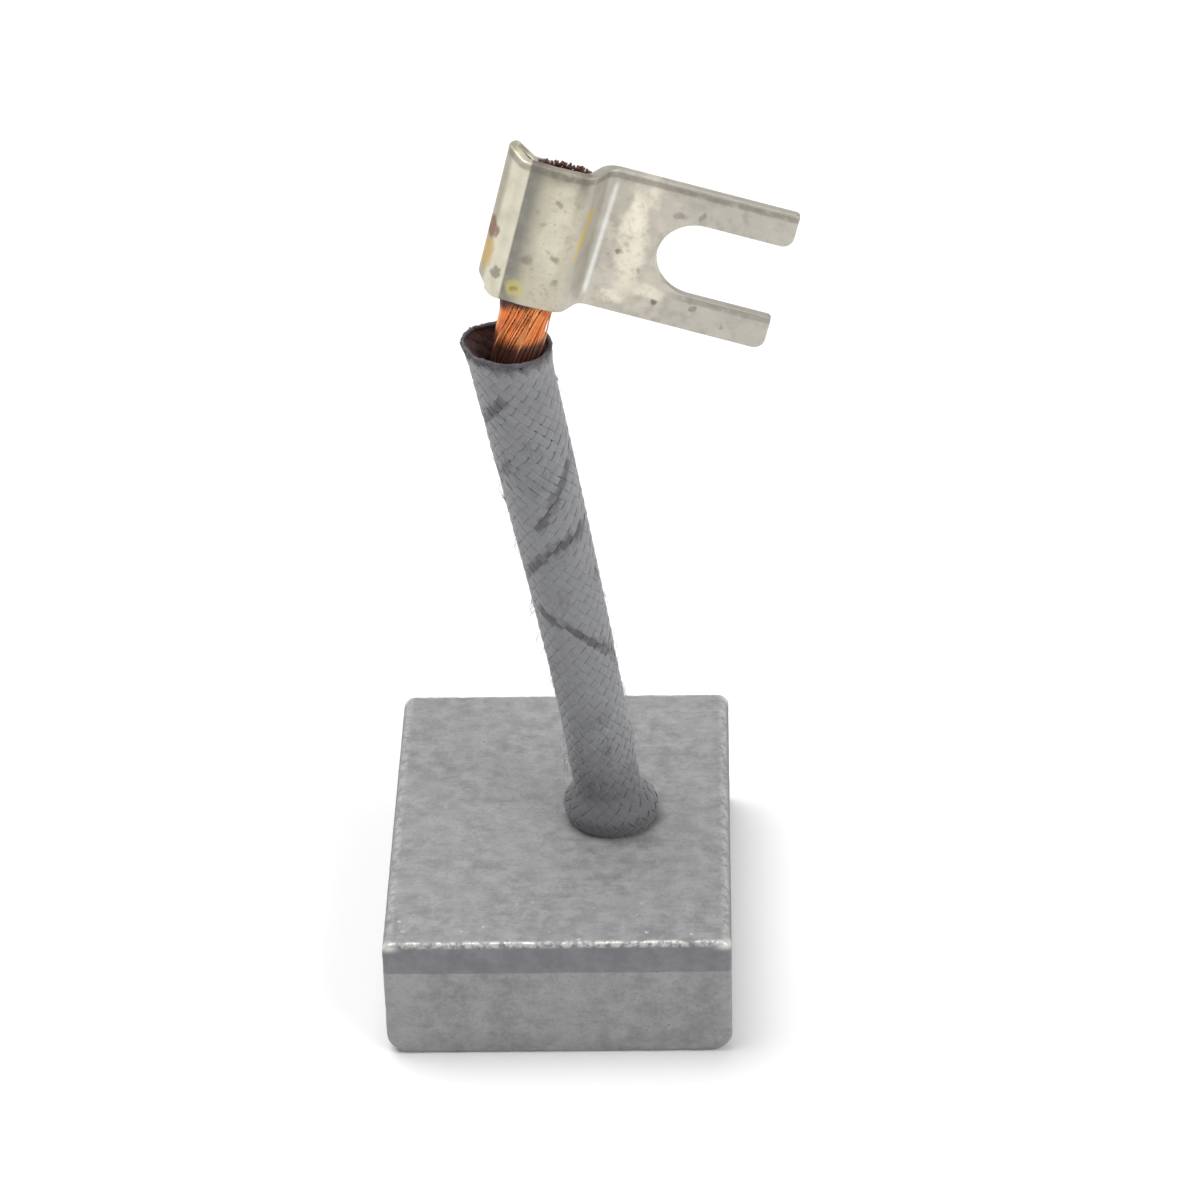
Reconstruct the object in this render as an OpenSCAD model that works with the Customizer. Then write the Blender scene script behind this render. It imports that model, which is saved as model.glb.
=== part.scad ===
// A carbon brush for a large motor or slip ring: a pressed metal-graphite block,
// a stranded copper lead tamped into its broad upper face, a braided glass-fibre
// sleeve over the lead, and a folded fork terminal crimped to its free end.
// Millimetres. The origin is the middle of the block's underside, +Z is up, and
// +Y runs along the block's longest side.

/* [Block] */
// Width of the block, along X
block_w = 25; // [18:0.5:36]
// Length of the block, along Y
block_l = 32; // [22:0.5:44]
// Height of the block, along Z
block_h = 9.8; // [8:0.1:20]
// Radius of the two long upper edges
top_edge_r = 0.8; // [0.3:0.1:2]
// Radius of the two long lower edges
bottom_edge_r = 1.6; // [0.4:0.1:2.5]
// Radius of the short edges at the two ends
end_edge_r = 0.35; // [0.1:0.05:0.8]

/* [Lead] */
// Place of the lead along X, from the middle of the block
lead_x = 3.8; // [-5:0.1:5]
// Place of the lead along Y, from the middle of the block
lead_y = 0; // [-8:0.1:8]
// Diameter of the stranded copper lead
lead_d = 3.5; // [2.5:0.1:4]
// Depth of the tamped socket in the block
socket_depth = 6.2; // [4.6:0.1:7]
// Width of the tamped contact powder round the lead
powder_wall = 1.2; // [0.8:0.1:2]
// Powder left under the lead's buried end
powder_floor = 1; // [0.5:0.1:1.8]

/* [Sleeve] */
// Length of the sleeve, measured straight up from the block
sleeve_l = 39.9; // [25:0.1:40.5]
// Thickness of the sleeve's wall
sleeve_wall = 0.45; // [0.25:0.05:0.6]
// Room between the lead and the sleeve, where the sleeve grips it
sleeve_fit = 0.3; // [0.1:0.05:0.4]
// Extra radius of the bunched foot that stands on the block
foot_bulge = 1; // [0.3:0.05:2]
// Extra radius that the sleeve gains in its upper half
upper_swell = 0.42; // [0.3:0.02:0.7]
// Extra radius of the open, frayed mouth
mouth_flare = 0.35; // [0.2:0.05:1]
// Number of yarns that run each way round the braid
weave_columns = 18; // [12:1:20]
// Height of one diamond of the braid
weave_pitch = 1; // [0.9:0.05:1.6]
// Height of the yarns' crowns over the pits between them
weave_relief = 0.16; // [0.06:0.02:0.24]

/* [Terminal] */
// Thickness of the terminal's strip
strip_t = 0.7; // [0.5:0.05:0.9]
// Width of the strip, from edge to edge
strip_w = 10.8; // [9.8:0.1:14]
// Width of the fork's slot, for an M5 stud
slot_w = 5.6; // [4.3:0.1:6.2]
// Depth of the fork's slot, from its open end
slot_depth = 8.8; // [6:0.1:10]
// Strip left between the slot's round end and the barrel's neck
slot_land = 3.8; // [2:0.1:6]
// Centreline radius of the fold between the fork and the barrel's neck
plate_fold_r = 1.2; // [0.6:0.05:1.4]
// Centreline radius of the fold between the neck and the barrel's front
neck_fold_r = 0.85; // [0.6:0.05:1]
// Centreline radius of the crisp folds at both ends of the barrel's wing
wing_fold_r = 0.5; // [0.5:0.05:0.8]
// Angle by which the neck steps out to the barrel's front
neck_angle = 64; // [50:1:72]
// Angle by which the wing turns back from the barrel's front
wing_angle = 57; // [50:1:80]
// Half the angle over which the barrel's front is bowed
bow_angle = 8; // [4:1:14]
// Width of the lead where the barrel squeezes it
crimp_w = 4; // [3:0.1:4.2]
// Thickness of the lead where the barrel squeezes it
crimp_t = 1.6; // [1.2:0.1:2]
// Room between the squeezed lead and the barrel, all round
crimp_fit = 0.05; // [0.03:0.01:0.1]
// Height that the lead's cut end stays below the strip's upper edge
cut_end_drop = 0.4; // [0.2:0.1:1]
// Radius of the rounded corners at the fork's ends
tip_r = 0.8; // [0.4:0.1:1.1]
// Radius of the crisp corners at the fork's ends
tip_crisp_r = 0.3; // [0.1:0.05:0.4]

/* [Hidden] */
// How far a cutting shape runs past the face that it opens
past = 0.5;

// The lead: where it leaves the block, its route from there, and the terminal
lead_exit = [lead_x, lead_y, block_h];
lead_r = lead_d / 2;
lead_sides = 8;
lead_bottom = powder_floor - socket_depth;
lead_route = [
    [0, 0, lead_bottom], [0, 0, -2.2], [0, 0, 0], [-0.35, 0, 3], [-0.75, 0, 6],
    [-1.2, 0, 9], [-1.65, 0, 12], [-2.15, 0, 15], [-2.65, 0, 18], [-3.15, 0, 21],
    [-3.65, 0, 24], [-4.2, 0, 27], [-4.7, 0, 30], [-5.15, 0, 33], [-5.5, 0, 36],
    [-5.75, 0, 38.5], [-5.6, 0, 40.7], [-5.25, -0.05, 42.3],
];
squeezed_l = strip_w - cut_end_drop;
terminal_foot = [-4.9, -0.1, 43.75];
terminal_lean = 14.3;
terminal_yaw = -5.5;

// The socket
socket_r = lead_r + powder_wall;

// The sleeve
sleeve_lean = 9.36;
sleeve_bow = 0.34;
bow_shape = 0.75;
sleeve_r = lead_r + sleeve_fit + sleeve_wall;
sleeve_rows = 2 * round(sleeve_l / weave_pitch);
lining_rings = 14;
foot_height = 3;
foot_middle = 1.1;
foot_tuck = 2.8;
mouth_height = 2.6;
mouth_tilt = 0.25;
mouth_lift = 0.2;

// The terminal
plate_l = slot_depth + slot_land;
side_room = 0.25;
cavity_t = crimp_t + 2 * crimp_fit;
cavity_w = crimp_w + side_room;
neck_inset = 0.41;
fold_step = 12;
fold_rise = cavity_t + strip_t;
bow_w = cavity_w - wing_fold_r * (sin(wing_angle) - sin(bow_angle));
bow_r = bow_w / 2 / sin(bow_angle);
bow_rise = bow_r * (1 - cos(bow_angle));
neck_l = (fold_rise - bow_rise - plate_fold_r * (1 - cos(neck_angle))
    - neck_fold_r * (cos(bow_angle) - cos(neck_angle))) / sin(neck_angle);
neck_run = plate_fold_r * sin(neck_angle) + neck_l * cos(neck_angle)
    + neck_fold_r * (sin(neck_angle) - sin(bow_angle));
wing_l = (fold_rise - bow_rise - wing_fold_r * (1 + cos(bow_angle))) / sin(wing_angle);
tucked_reach = 0.4;
back_l = cavity_w + tucked_reach;
back_drop = 0.9;
end_crop = 0.7;
barrel_right = cavity_w / 2 - neck_inset;
plate_start = barrel_right + neck_run;
tip_x = plate_start + plate_l;
plate_y = fold_rise / 2;

// ---------------------------------------------------------------- the block

// One rounded corner's waste: a square of side r less the disc inside it.
module corner_waste(r) {
    difference() {
        square(r + past);
        circle(r, $fn = 48);
    }
}

// A rectangle on its base line, with one radius above and one below.
module soft_outline(w, h, r_top, r_bottom) {
    difference() {
        translate([-w / 2, 0]) square([w, h]);
        for (side = [-1, 1]) scale_x(side) {
            translate([w / 2 - r_top, h - r_top]) corner_waste(r_top);
            translate([w / 2 - r_bottom, r_bottom]) mirror([0, 1]) corner_waste(r_bottom);
        }
    }
}

// Mirrors a flat shape to the left where side is -1.
module scale_x(side) {
    if (side < 0) mirror([1, 0]) children();
    else children();
}

module carbon_block() {
    color([0.53, 0.53, 0.54])
    difference() {
        intersection() {
            translate([0, block_l / 2, 0]) rotate([90, 0, 0])
                linear_extrude(block_l)
                soft_outline(block_w, block_h, top_edge_r, bottom_edge_r);
            translate([-block_w / 2, 0, 0]) rotate([90, 0, 90])
                linear_extrude(block_w)
                soft_outline(block_l, block_h, end_edge_r, end_edge_r);
        }
        translate([lead_x, lead_y, block_h - socket_depth])
            cylinder(r = socket_r, h = socket_depth + past, $fn = 64);
    }
}

module contact_powder() {
    color([0.36, 0.33, 0.32])
    translate([lead_x, lead_y, block_h - socket_depth])
    difference() {
        cylinder(r = socket_r, h = socket_depth, $fn = 64);
        translate([0, 0, powder_floor]) cylinder(r = lead_r, h = socket_depth, $fn = 64);
    }
}

// ----------------------------------------------------------------- the lead

function unit(v) = v / norm(v);

// A point of the terminal's own frame, carried to the lead's frame.
function from_terminal(p) =
    let (a = terminal_lean, b = terminal_yaw,
        x = p.x * cos(a) + p.z * sin(a),
        z = -p.x * sin(a) + p.z * cos(a))
    terminal_foot + [x * cos(b) - p.y * sin(b), x * sin(b) + p.y * cos(b), z];

// Centre of each ring, with its half width across and its half depth.
lead_rings = concat(
    [for (p = lead_route) let (s = max(0, p.z - 40) / 7) [p, lead_r, lead_r * (1 - s)]],
    [for (s = [0 : 0.25 : 1])
        [from_terminal([0.3 * s, 0, squeezed_l * s]), crimp_w / 2, crimp_t / 2]]
);

// The route's direction at ring i, from its neighbours.
function lead_heading(i) =
    let (last = len(lead_rings) - 1)
    unit(lead_rings[min(i + 1, last)][0] - lead_rings[max(i - 1, 0)][0]);

// The corners of ring i.
function ring_points(i) =
    let (along = lead_heading(i),
        across = unit(cross([0, 1, 0], along)),
        depth = cross(along, across))
    [for (k = [0 : lead_sides - 1]) let (a = 360 * k / lead_sides)
        lead_rings[i][0] + across * lead_rings[i][1] * cos(a)
            + depth * lead_rings[i][2] * sin(a)];

// Faces of a closed tube of rings, whose points are numbered ring after ring.
function tube_faces(rings, sides) = concat(
    [for (i = [0 : rings - 2]) for (k = [0 : sides - 1])
        let (a = i * sides + k, b = i * sides + (k + 1) % sides)
        each [[a, a + sides, b], [b, a + sides, b + sides]]],
    [[for (k = [0 : sides - 1]) k]],
    [[for (k = [sides - 1 : -1 : 0]) (rings - 1) * sides + k]]
);

module copper_lead() {
    count = len(lead_rings);
    color([0.82, 0.45, 0.28])
    translate(lead_exit)
    polyhedron(
        [for (i = [0 : count - 1]) each ring_points(i)],
        tube_faces(count, lead_sides),
        convexity = 4
    );
}

// --------------------------------------------------------------- the sleeve

// 0 at the start of a stretch, 1 at its end, and smooth at both.
function ease(t) = let (c = max(0, min(1, t))) c * c * (3 - 2 * c);

// Mean outer radius at height h above the block.
function sleeve_radius(h) =
    let (foot = ease(h < foot_middle ? 1 - (foot_middle - h) / foot_tuck
            : (foot_height - h) / (foot_height - foot_middle)),
        mouth = max(0, h - sleeve_l + mouth_height) / mouth_height)
    sleeve_r + foot_bulge * foot + upper_swell * ease((h - 8) / (sleeve_l - 8))
        + mouth_flare * mouth * mouth;

// Place along X of the sleeve's middle at height h: it leans back and bows a little.
function sleeve_middle(h) =
    sleeve_bow * sin(180 * pow(h / sleeve_l, bow_shape)) - h * tan(sleeve_lean);

// A point of the sleeve at height h, turned by angle a, inset by d. The mouth is cut
// askew: it stands highest on the side that the lead leans to.
function sleeve_point(h, a, d) =
    let (top = ease((h - sleeve_l + mouth_height) / mouth_height),
        r = sleeve_radius(h) - d,
        lift = mouth_lift * cos(a) * cos(a) - mouth_tilt * cos(a))
    [r * cos(a) + sleeve_middle(h), r * sin(a), h + top * lift];

// The braid's lattice: the pits, then the yarns' crowns between them.
function weave_turn(i, row) = 360 * (i + (row % 2) / 2) / weave_columns;
function weave_h(row) = sleeve_l * row / sleeve_rows;
function pit(i, row) = row * weave_columns + i % weave_columns;
crown_base = (sleeve_rows + 1) * weave_columns;
function crown(i, row) = crown_base + (row - 1) * weave_columns + i % weave_columns;
lining_base = crown_base + (sleeve_rows - 1) * weave_columns;
function lining(i, ring) = lining_base + ring * weave_columns + i % weave_columns;

sleeve_points = concat(
    [for (row = [0 : sleeve_rows]) for (i = [0 : weave_columns - 1])
        sleeve_point(weave_h(row), weave_turn(i, row), weave_relief)],
    [for (row = [1 : sleeve_rows - 1]) for (i = [0 : weave_columns - 1])
        sleeve_point(weave_h(row), weave_turn(i + 0.5, row), 0)],
    [for (ring = [0 : lining_rings]) for (i = [0 : weave_columns - 1])
        sleeve_point(sleeve_l * ring / lining_rings, weave_turn(i, 0), sleeve_wall)]
);

sleeve_faces = concat(
    // each diamond of the braid is four triangles that meet at its crown
    [for (row = [1 : sleeve_rows - 1]) for (i = [0 : weave_columns - 1])
        let (c = crown(i, row), left = pit(i, row), right = pit(i + 1, row),
            above = pit(i + row % 2, row + 1), below = pit(i + row % 2, row - 1))
        each [[c, left, above], [c, above, right], [c, right, below], [c, below, left]]],
    // half diamonds close the foot and the mouth
    [for (i = [0 : weave_columns - 1])
        [pit(i, 0), pit(i, 1), pit(i + 1, 0)]],
    [for (i = [0 : weave_columns - 1])
        [pit(i, sleeve_rows), pit(i + 1, sleeve_rows), pit(i, sleeve_rows - 1)]],
    // the plain lining
    [for (ring = [0 : lining_rings - 1]) for (i = [0 : weave_columns - 1])
        let (a = lining(i, ring), b = lining(i + 1, ring),
            c = lining(i, ring + 1), d = lining(i + 1, ring + 1))
        each [[a, b, c], [b, d, c]]],
    // the rims at the foot and the mouth
    [for (i = [0 : weave_columns - 1])
        let (a = pit(i, 0), b = pit(i + 1, 0), c = lining(i, 0), d = lining(i + 1, 0))
        each [[a, b, c], [b, d, c]]],
    [for (i = [0 : weave_columns - 1])
        let (a = pit(i, sleeve_rows), b = pit(i + 1, sleeve_rows),
            c = lining(i, lining_rings), d = lining(i + 1, lining_rings))
        each [[a, c, b], [b, c, d]]]
);

module glass_sleeve() {
    color([0.45, 0.45, 0.46])
    translate(lead_exit)
    polyhedron(sleeve_points, sleeve_faces, convexity = 6);
}

// ------------------------------------------------------------- the terminal

// The strip's folds, from the fork's tips to the strip's tucked end. Each step is
// [straight length, turn that follows it, centreline radius of that turn].
strip_steps = [
    [plate_l, neck_angle, plate_fold_r],
    [neck_l, bow_angle - neck_angle, neck_fold_r],
    [0, -2 * bow_angle, bow_r],
    [0, bow_angle - wing_angle, wing_fold_r],
    [wing_l, wing_angle - 180, wing_fold_r],
    [back_l, 0, 1],
];

// Centreline frames [x, y, heading] of a strip that starts at p with heading h.
function strip_frames(p, h, steps, i = 0) =
    i == len(steps) ? [] :
    let (s = steps[i],
        side = s[1] < 0 ? -1 : 1,
        q = p + s[0] * [cos(h), sin(h)],
        c = q + s[2] * side * [-sin(h), cos(h)],
        n = ceil(abs(s[1]) / fold_step),
        turn = [for (k = [1 : 1 : n]) let (a = h + s[1] * k / n)
            [c.x + s[2] * side * sin(a), c.y - s[2] * side * cos(a), a]],
        last = n > 0 ? turn[n - 1] : [q.x, q.y, h])
    concat(
        s[0] > 0 ? [[q.x, q.y, h]] : [],
        turn,
        strip_frames([last.x, last.y], last.z, steps, i + 1)
    );

strip_line = concat(
    [[tip_x, plate_y, 180]],
    strip_frames([tip_x, plate_y], 180, strip_steps)
);

// The strip's cross-section: one side of the centreline, then back along the other.
strip_section = concat(
    [for (f = strip_line) [f.x, f.y] + strip_t / 2 * [-sin(f.z), cos(f.z)]],
    [for (k = [len(strip_line) - 1 : -1 : 0]) let (f = strip_line[k])
        [f.x, f.y] - strip_t / 2 * [-sin(f.z), cos(f.z)]]
);

// Waste of a fork corner at [x, z], rounded with radius r; up is 1 or -1.
module tip_waste(z, r, up) {
    translate([tip_x - r, plate_y + strip_t / 2 + past, z - up * r])
        rotate([90, 0, 0])
        linear_extrude(strip_t + 2 * past)
        scale_y(up) corner_waste(r);
}

// Mirrors a flat shape downwards where side is -1.
module scale_y(side) {
    if (side < 0) mirror([0, 1]) children();
    else children();
}

module fork_slot() {
    mid = strip_w / 2;
    translate([tip_x - slot_depth + slot_w / 2, plate_y + strip_t / 2 + past, mid])
        rotate([90, 0, 0]) cylinder(d = slot_w, h = strip_t + 2 * past, $fn = 64);
    translate([tip_x - slot_depth + slot_w / 2, plate_y - strip_t / 2 - past, mid - slot_w / 2])
        cube([slot_depth, strip_t + 2 * past, slot_w]);
}

// The tucked end of the strip is cut back above, and its lower corner is cropped.
module tucked_end_waste() {
    right = strip_line[len(strip_line) - 1].x + crimp_fit;
    left = min([for (f = strip_line) f.x]) - strip_t / 2;
    y_top = plate_y - strip_t / 2 - 0.2;
    y_low = strip_t - plate_y;
    translate([0, y_top + strip_t + 2 * past, 0]) rotate([90, 0, 0])
        linear_extrude(strip_t + 2 * past)
        polygon([
            [left, strip_w], [left + 0.5, strip_w],
            [left + 1.9, strip_w - back_drop], [right, strip_w - back_drop],
            [right, strip_w + past], [left, strip_w + past],
        ]);
    translate([0, y_low + fold_rise + past, 0]) rotate([90, 0, 0])
        linear_extrude(fold_rise + past)
        polygon([
            [left - past, -past], [left - past, end_crop], [left, end_crop],
            [left + 1.5 * end_crop, 0], [left + 1.5 * end_crop, -past],
        ]);
}

module fork_terminal() {
    mid = strip_w / 2;
    color([0.78, 0.76, 0.69])
    translate(lead_exit) translate(terminal_foot)
    rotate([0, terminal_lean, terminal_yaw])
    difference() {
        linear_extrude(strip_w) polygon(strip_section);
        fork_slot();
        tip_waste(strip_w, tip_crisp_r, 1);
        tip_waste(mid + slot_w / 2, tip_r, -1);
        tip_waste(mid - slot_w / 2, tip_crisp_r, 1);
        tip_waste(0, tip_r, -1);
        tucked_end_waste();
    }
}

carbon_block();
contact_powder();
copper_lead();
glass_sleeve();
fork_terminal();
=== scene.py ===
"""The looks of the carbon brush: camera and light, the stranded lead, the braided sleeve, the folded
terminal and the pressed block.

Shapes are worked out in millimetres, in the frame of the CAD part, and become metres where their meshes
are made.
"""

import itertools
import math

import bmesh
import bpy
import numpy as np
from mathutils import Euler, Matrix, Vector


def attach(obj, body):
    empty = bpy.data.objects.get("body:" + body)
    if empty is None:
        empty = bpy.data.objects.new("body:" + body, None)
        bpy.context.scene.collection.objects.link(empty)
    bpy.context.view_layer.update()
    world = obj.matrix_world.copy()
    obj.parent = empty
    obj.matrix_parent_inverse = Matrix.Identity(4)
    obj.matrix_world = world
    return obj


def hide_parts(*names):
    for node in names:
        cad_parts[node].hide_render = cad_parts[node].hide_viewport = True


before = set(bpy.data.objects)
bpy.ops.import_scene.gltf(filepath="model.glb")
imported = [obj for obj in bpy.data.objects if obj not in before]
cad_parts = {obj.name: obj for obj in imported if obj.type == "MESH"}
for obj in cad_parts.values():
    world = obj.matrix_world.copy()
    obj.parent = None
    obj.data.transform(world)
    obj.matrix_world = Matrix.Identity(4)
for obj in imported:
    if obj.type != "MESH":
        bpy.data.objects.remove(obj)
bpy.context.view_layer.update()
MM = 0.001
TURN = 2 * math.pi

# ------------------------------------------------------------------ the frame's sizes, in mm

LEAD_EXIT = np.array([3.8, 0.0, 9.8])
LEAD_R = 1.75
LEAD_ROUTE = [  # from the lead's exit
    (0, 0, -5.2), (0, 0, -2.2), (0, 0, 0), (-0.35, 0, 3), (-0.75, 0, 6),
    (-1.2, 0, 9), (-1.65, 0, 12), (-2.15, 0, 15), (-2.65, 0, 18), (-3.15, 0, 21),
    (-3.65, 0, 24), (-4.2, 0, 27), (-4.7, 0, 30), (-5.15, 0, 33), (-5.5, 0, 36),
    (-5.75, 0, 38.5), (-5.6, 0, 40.7), (-5.25, -0.05, 42.3),
]
TERMINAL_FOOT = np.array([-4.9, -0.1, 43.75])
TERMINAL_LEAN, TERMINAL_YAW = math.radians(14.3), math.radians(-5.5)
CRIMP_W, CRIMP_T, SQUEEZED_L = 4.0, 1.6, 10.4
SLEEVE_L, SLEEVE_R = 39.9, 2.5  # R is the outside, above the foot
FOOT_HEIGHT, FOOT_MIDDLE, FOOT_TUCK, FOOT_BULGE = 3.0, 1.1, 2.8, 1.0
SWELL_START, UPPER_SWELL = 8.0, 0.42
MOUTH_HEIGHT, MOUTH_FLARE, MOUTH_LIFT, MOUTH_TILT = 2.6, 0.35, 0.2, 0.25
SLEEVE_BOW, SLEEVE_LEAN = 0.34, math.radians(9.36)
BLOCK_W, BLOCK_L, BLOCK_H = 25.0, 32.0, 9.8
TOP_EDGE_R, BOTTOM_EDGE_R, END_EDGE_R = 0.8, 1.6, 0.35
SOCKET_R, SOCKET_DEPTH = 2.95, 6.2
TERMINAL_TURN = Matrix(Euler((0, TERMINAL_LEAN, TERMINAL_YAW)).to_matrix())


def from_terminal(x, y, z):
    """A point of the terminal's own frame, in the lead's frame."""
    return TERMINAL_FOOT + np.array(TERMINAL_TURN @ Vector((x, y, z)))


# ------------------------------------------------------------------ camera and light

CAMERA_LENS, CAMERA_SENSOR = 138.0, 36.0
CAMERA_ELEVATION, CAMERA_YAW, CAMERA_ROLL = (math.radians(a) for a in (32.55, -1.72, 1.52))
CAMERA_OFFSET = np.array([-2.64, -24.11, 346.02])  # of the origin, to the right, up and away


def add_camera():
    """The camera, from its angles and from where the origin lies in its view."""
    e, w, r = CAMERA_ELEVATION, CAMERA_YAW, CAMERA_ROLL
    level = np.array([math.cos(w), -math.sin(w), 0])
    rise = np.array([math.sin(e) * math.sin(w), math.sin(e) * math.cos(w), math.cos(e)])
    away = np.array([math.cos(e) * math.sin(w), math.cos(e) * math.cos(w), -math.sin(e)])
    right = math.cos(r) * level - math.sin(r) * rise
    up = math.sin(r) * level + math.cos(r) * rise
    place = -(CAMERA_OFFSET[0] * right + CAMERA_OFFSET[1] * up + CAMERA_OFFSET[2] * away) * MM
    data = bpy.data.cameras.new("camera")
    data.lens, data.sensor_width = CAMERA_LENS, CAMERA_SENSOR
    data.clip_start, data.clip_end = 0.02, 10
    camera = bpy.data.objects.new("camera", data)
    axes = Matrix([[*row, at] for row, at in zip(np.array([right, up, -away]).T, place)] + [[0, 0, 0, 1]])
    camera.matrix_world = axes
    bpy.context.collection.objects.link(camera)
    bpy.context.scene.camera = camera


def add_area(name, place, aim, size, power):
    """A round soft light, in metres and watts."""
    data = bpy.data.lights.new(name, "AREA")
    data.shape, data.size, data.energy = "DISK", size, power
    light = bpy.data.objects.new(name, data)
    light.location = place
    light.rotation_euler = (Vector(aim) - Vector(place)).to_track_quat("-Z", "Y").to_euler()
    bpy.context.collection.objects.link(light)


def studio_world():
    """Even white light from all round, with the unlit part of the room over the front."""
    world = bpy.data.worlds.new("studio")
    world.use_nodes = True
    tree = world.node_tree
    tree.nodes["Background"].inputs["Color"].default_value = (1, 1, 1, 1)
    aim = tree.nodes.new("ShaderNodeVectorMath")
    aim.operation = "DOT_PRODUCT"
    aim.inputs[1].default_value = Vector((0, -0.75, 0.66)).normalized()
    tree.links.new(tree.nodes.new("ShaderNodeTexCoord").outputs["Generated"], aim.inputs[0])
    level = tree.nodes.new("ShaderNodeMapRange")
    level.interpolation_type = "SMOOTHSTEP"
    for key, number in (("From Min", 0.84), ("From Max", 0.97), ("To Min", 0.5), ("To Max", 0.08)):
        level.inputs[key].default_value = number
    tree.links.new(aim.outputs["Value"], level.inputs["Value"])
    tree.links.new(level.outputs[0], tree.nodes["Background"].inputs["Strength"])
    return world


def add_stage():
    scene = bpy.context.scene
    scene.view_settings.view_transform = "Standard"
    scene.world = studio_world()
    add_area("key", (-0.16, 0.1, 0.62), (0, 0, 0.02), 0.55, 3.3)
    add_area("fill", (0.42, -0.3, 0.4), (0, 0, 0.03), 0.5, 1.6)
    floor = mesh_object("floor", [(-3, -3, 0), (3, -3, 0), (3, 3, 0), (-3, 3, 0)], [(0, 1, 2, 3)], 1)
    look = Look("pale_floor")
    look.shader("Base Color", (0.93, 0.93, 0.93, 1))
    look.shader("Roughness", 0.9)
    look.shader("Specular IOR Level", 0.0)
    floor.data.materials.append(look.material)


# ------------------------------------------------------------------ meshes

def mesh_object(name, points, faces, scale=MM):
    """A smooth-shaded object from points, by default in mm, and faces."""
    mesh = bpy.data.meshes.new(name)
    mesh.from_pydata((np.asarray(points, float) * scale).tolist(), [], faces)
    mesh.validate()
    mesh.polygons.foreach_set("use_smooth", [True] * len(mesh.polygons))
    piece = bpy.data.objects.new(name, mesh)
    bpy.context.collection.objects.link(piece)
    return piece


def give(piece, name, values):
    """A number at each point of a piece, for its material to read."""
    numbers = piece.data.attributes.new(name, "FLOAT", "POINT").data
    numbers.foreach_set("value", np.asarray(values, np.float32))


def ease(t):
    """Rises smoothly from 0 to 1 as t does."""
    t = np.clip(t, 0, 1)
    return t * t * (3 - 2 * t)


def hashed(cells, seed):
    """A repeatable number from 0 to 1 for each whole-numbered cell."""
    h = (cells * np.array([73856093, 19349663, 83492791])).sum(-1) + seed * 1013904223
    h = (h ^ (h >> 13)) * 1274126177
    return ((h ^ (h >> 16)) & 0xFFFFFF) / 0xFFFFFF


def lumps(points, size, seed):
    """Smooth noise from -1 to 1, whose lumps are about size across."""
    q = np.asarray(points, float) / size
    low = np.floor(q)
    t = ease(q - low)
    total = 0
    for corner in itertools.product((0, 1), repeat=3):
        weight = np.prod(np.where(corner, t, 1 - t), axis=-1)
        total = total + weight * hashed((low + corner).astype(np.int64), seed)
    return 2 * total - 1


def lumps_1d(values, size, seed):
    """Smooth noise from -1 to 1 along a line of numbers."""
    values = np.asarray(values, float)
    return lumps(np.stack([values, values * 0 + seed * 7.3, values * 0 + 0.5 * size], -1), size, seed)


def unit(v):
    return v / np.linalg.norm(v, axis=-1, keepdims=True)


def smooth_line(points, steps):
    """A Catmull-Rom line through rows of numbers, with steps places in each span."""
    points = np.asarray(points, float)
    padded = np.vstack([2 * points[0] - points[1], points, 2 * points[-1] - points[-2]])
    rows = []
    for i, n in zip(range(len(points) - 1), steps):
        a, b, c, d = padded[i:i + 4]
        t = (np.arange(n) / n)[:, None]
        squared, cubed = 2 * a - 5 * b + 4 * c - d, 3 * b - a - 3 * c + d
        rows.append(0.5 * (2 * b + (c - a) * t + squared * t**2 + cubed * t**3))
    rows.append(points[-1:])
    return np.vstack(rows)


def tubes(centres, sides_of, sides):
    """Closed tubes, as points and faces.

    centres is (tubes, rings, 3), and sides_of holds the offsets from them, (tubes, rings, sides, 3).
    """
    count, rings = centres.shape[:2]
    points = (centres[:, :, None] + sides_of).reshape(-1, 3)
    k = np.arange(sides)
    ring = np.arange(rings - 1)[:, None] * sides
    after = (k + 1) % sides
    quads = np.stack([ring + k, ring + after, ring + sides + after, ring + sides + k], -1).reshape(-1, 4)
    base = np.arange(count)[:, None, None] * rings * sides
    faces = (quads[None] + base).reshape(-1, 4).tolist()
    for start in base.ravel().tolist():
        last = start + (rings - 1) * sides
        faces.append([start + j for j in range(sides - 1, -1, -1)])
        faces.append([last + j for j in range(sides)])
    return points, faces


def round_tubes(centres, radii, sides):
    """Round tubes along lines of points, with a radius at each ring."""
    along = unit(np.gradient(centres, axis=1))
    across = unit(np.cross(along, np.array([0.31, 0.94, 0.12])))
    other = np.cross(along, across)
    a = TURN * np.arange(sides) / sides
    radii = np.broadcast_to(radii, centres.shape[:2])[..., None, None]
    offsets = radii * (across[:, :, None] * np.cos(a)[:, None] + other[:, :, None] * np.sin(a)[:, None])
    return tubes(centres, offsets, sides)


# ------------------------------------------------------------------ materials

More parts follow.
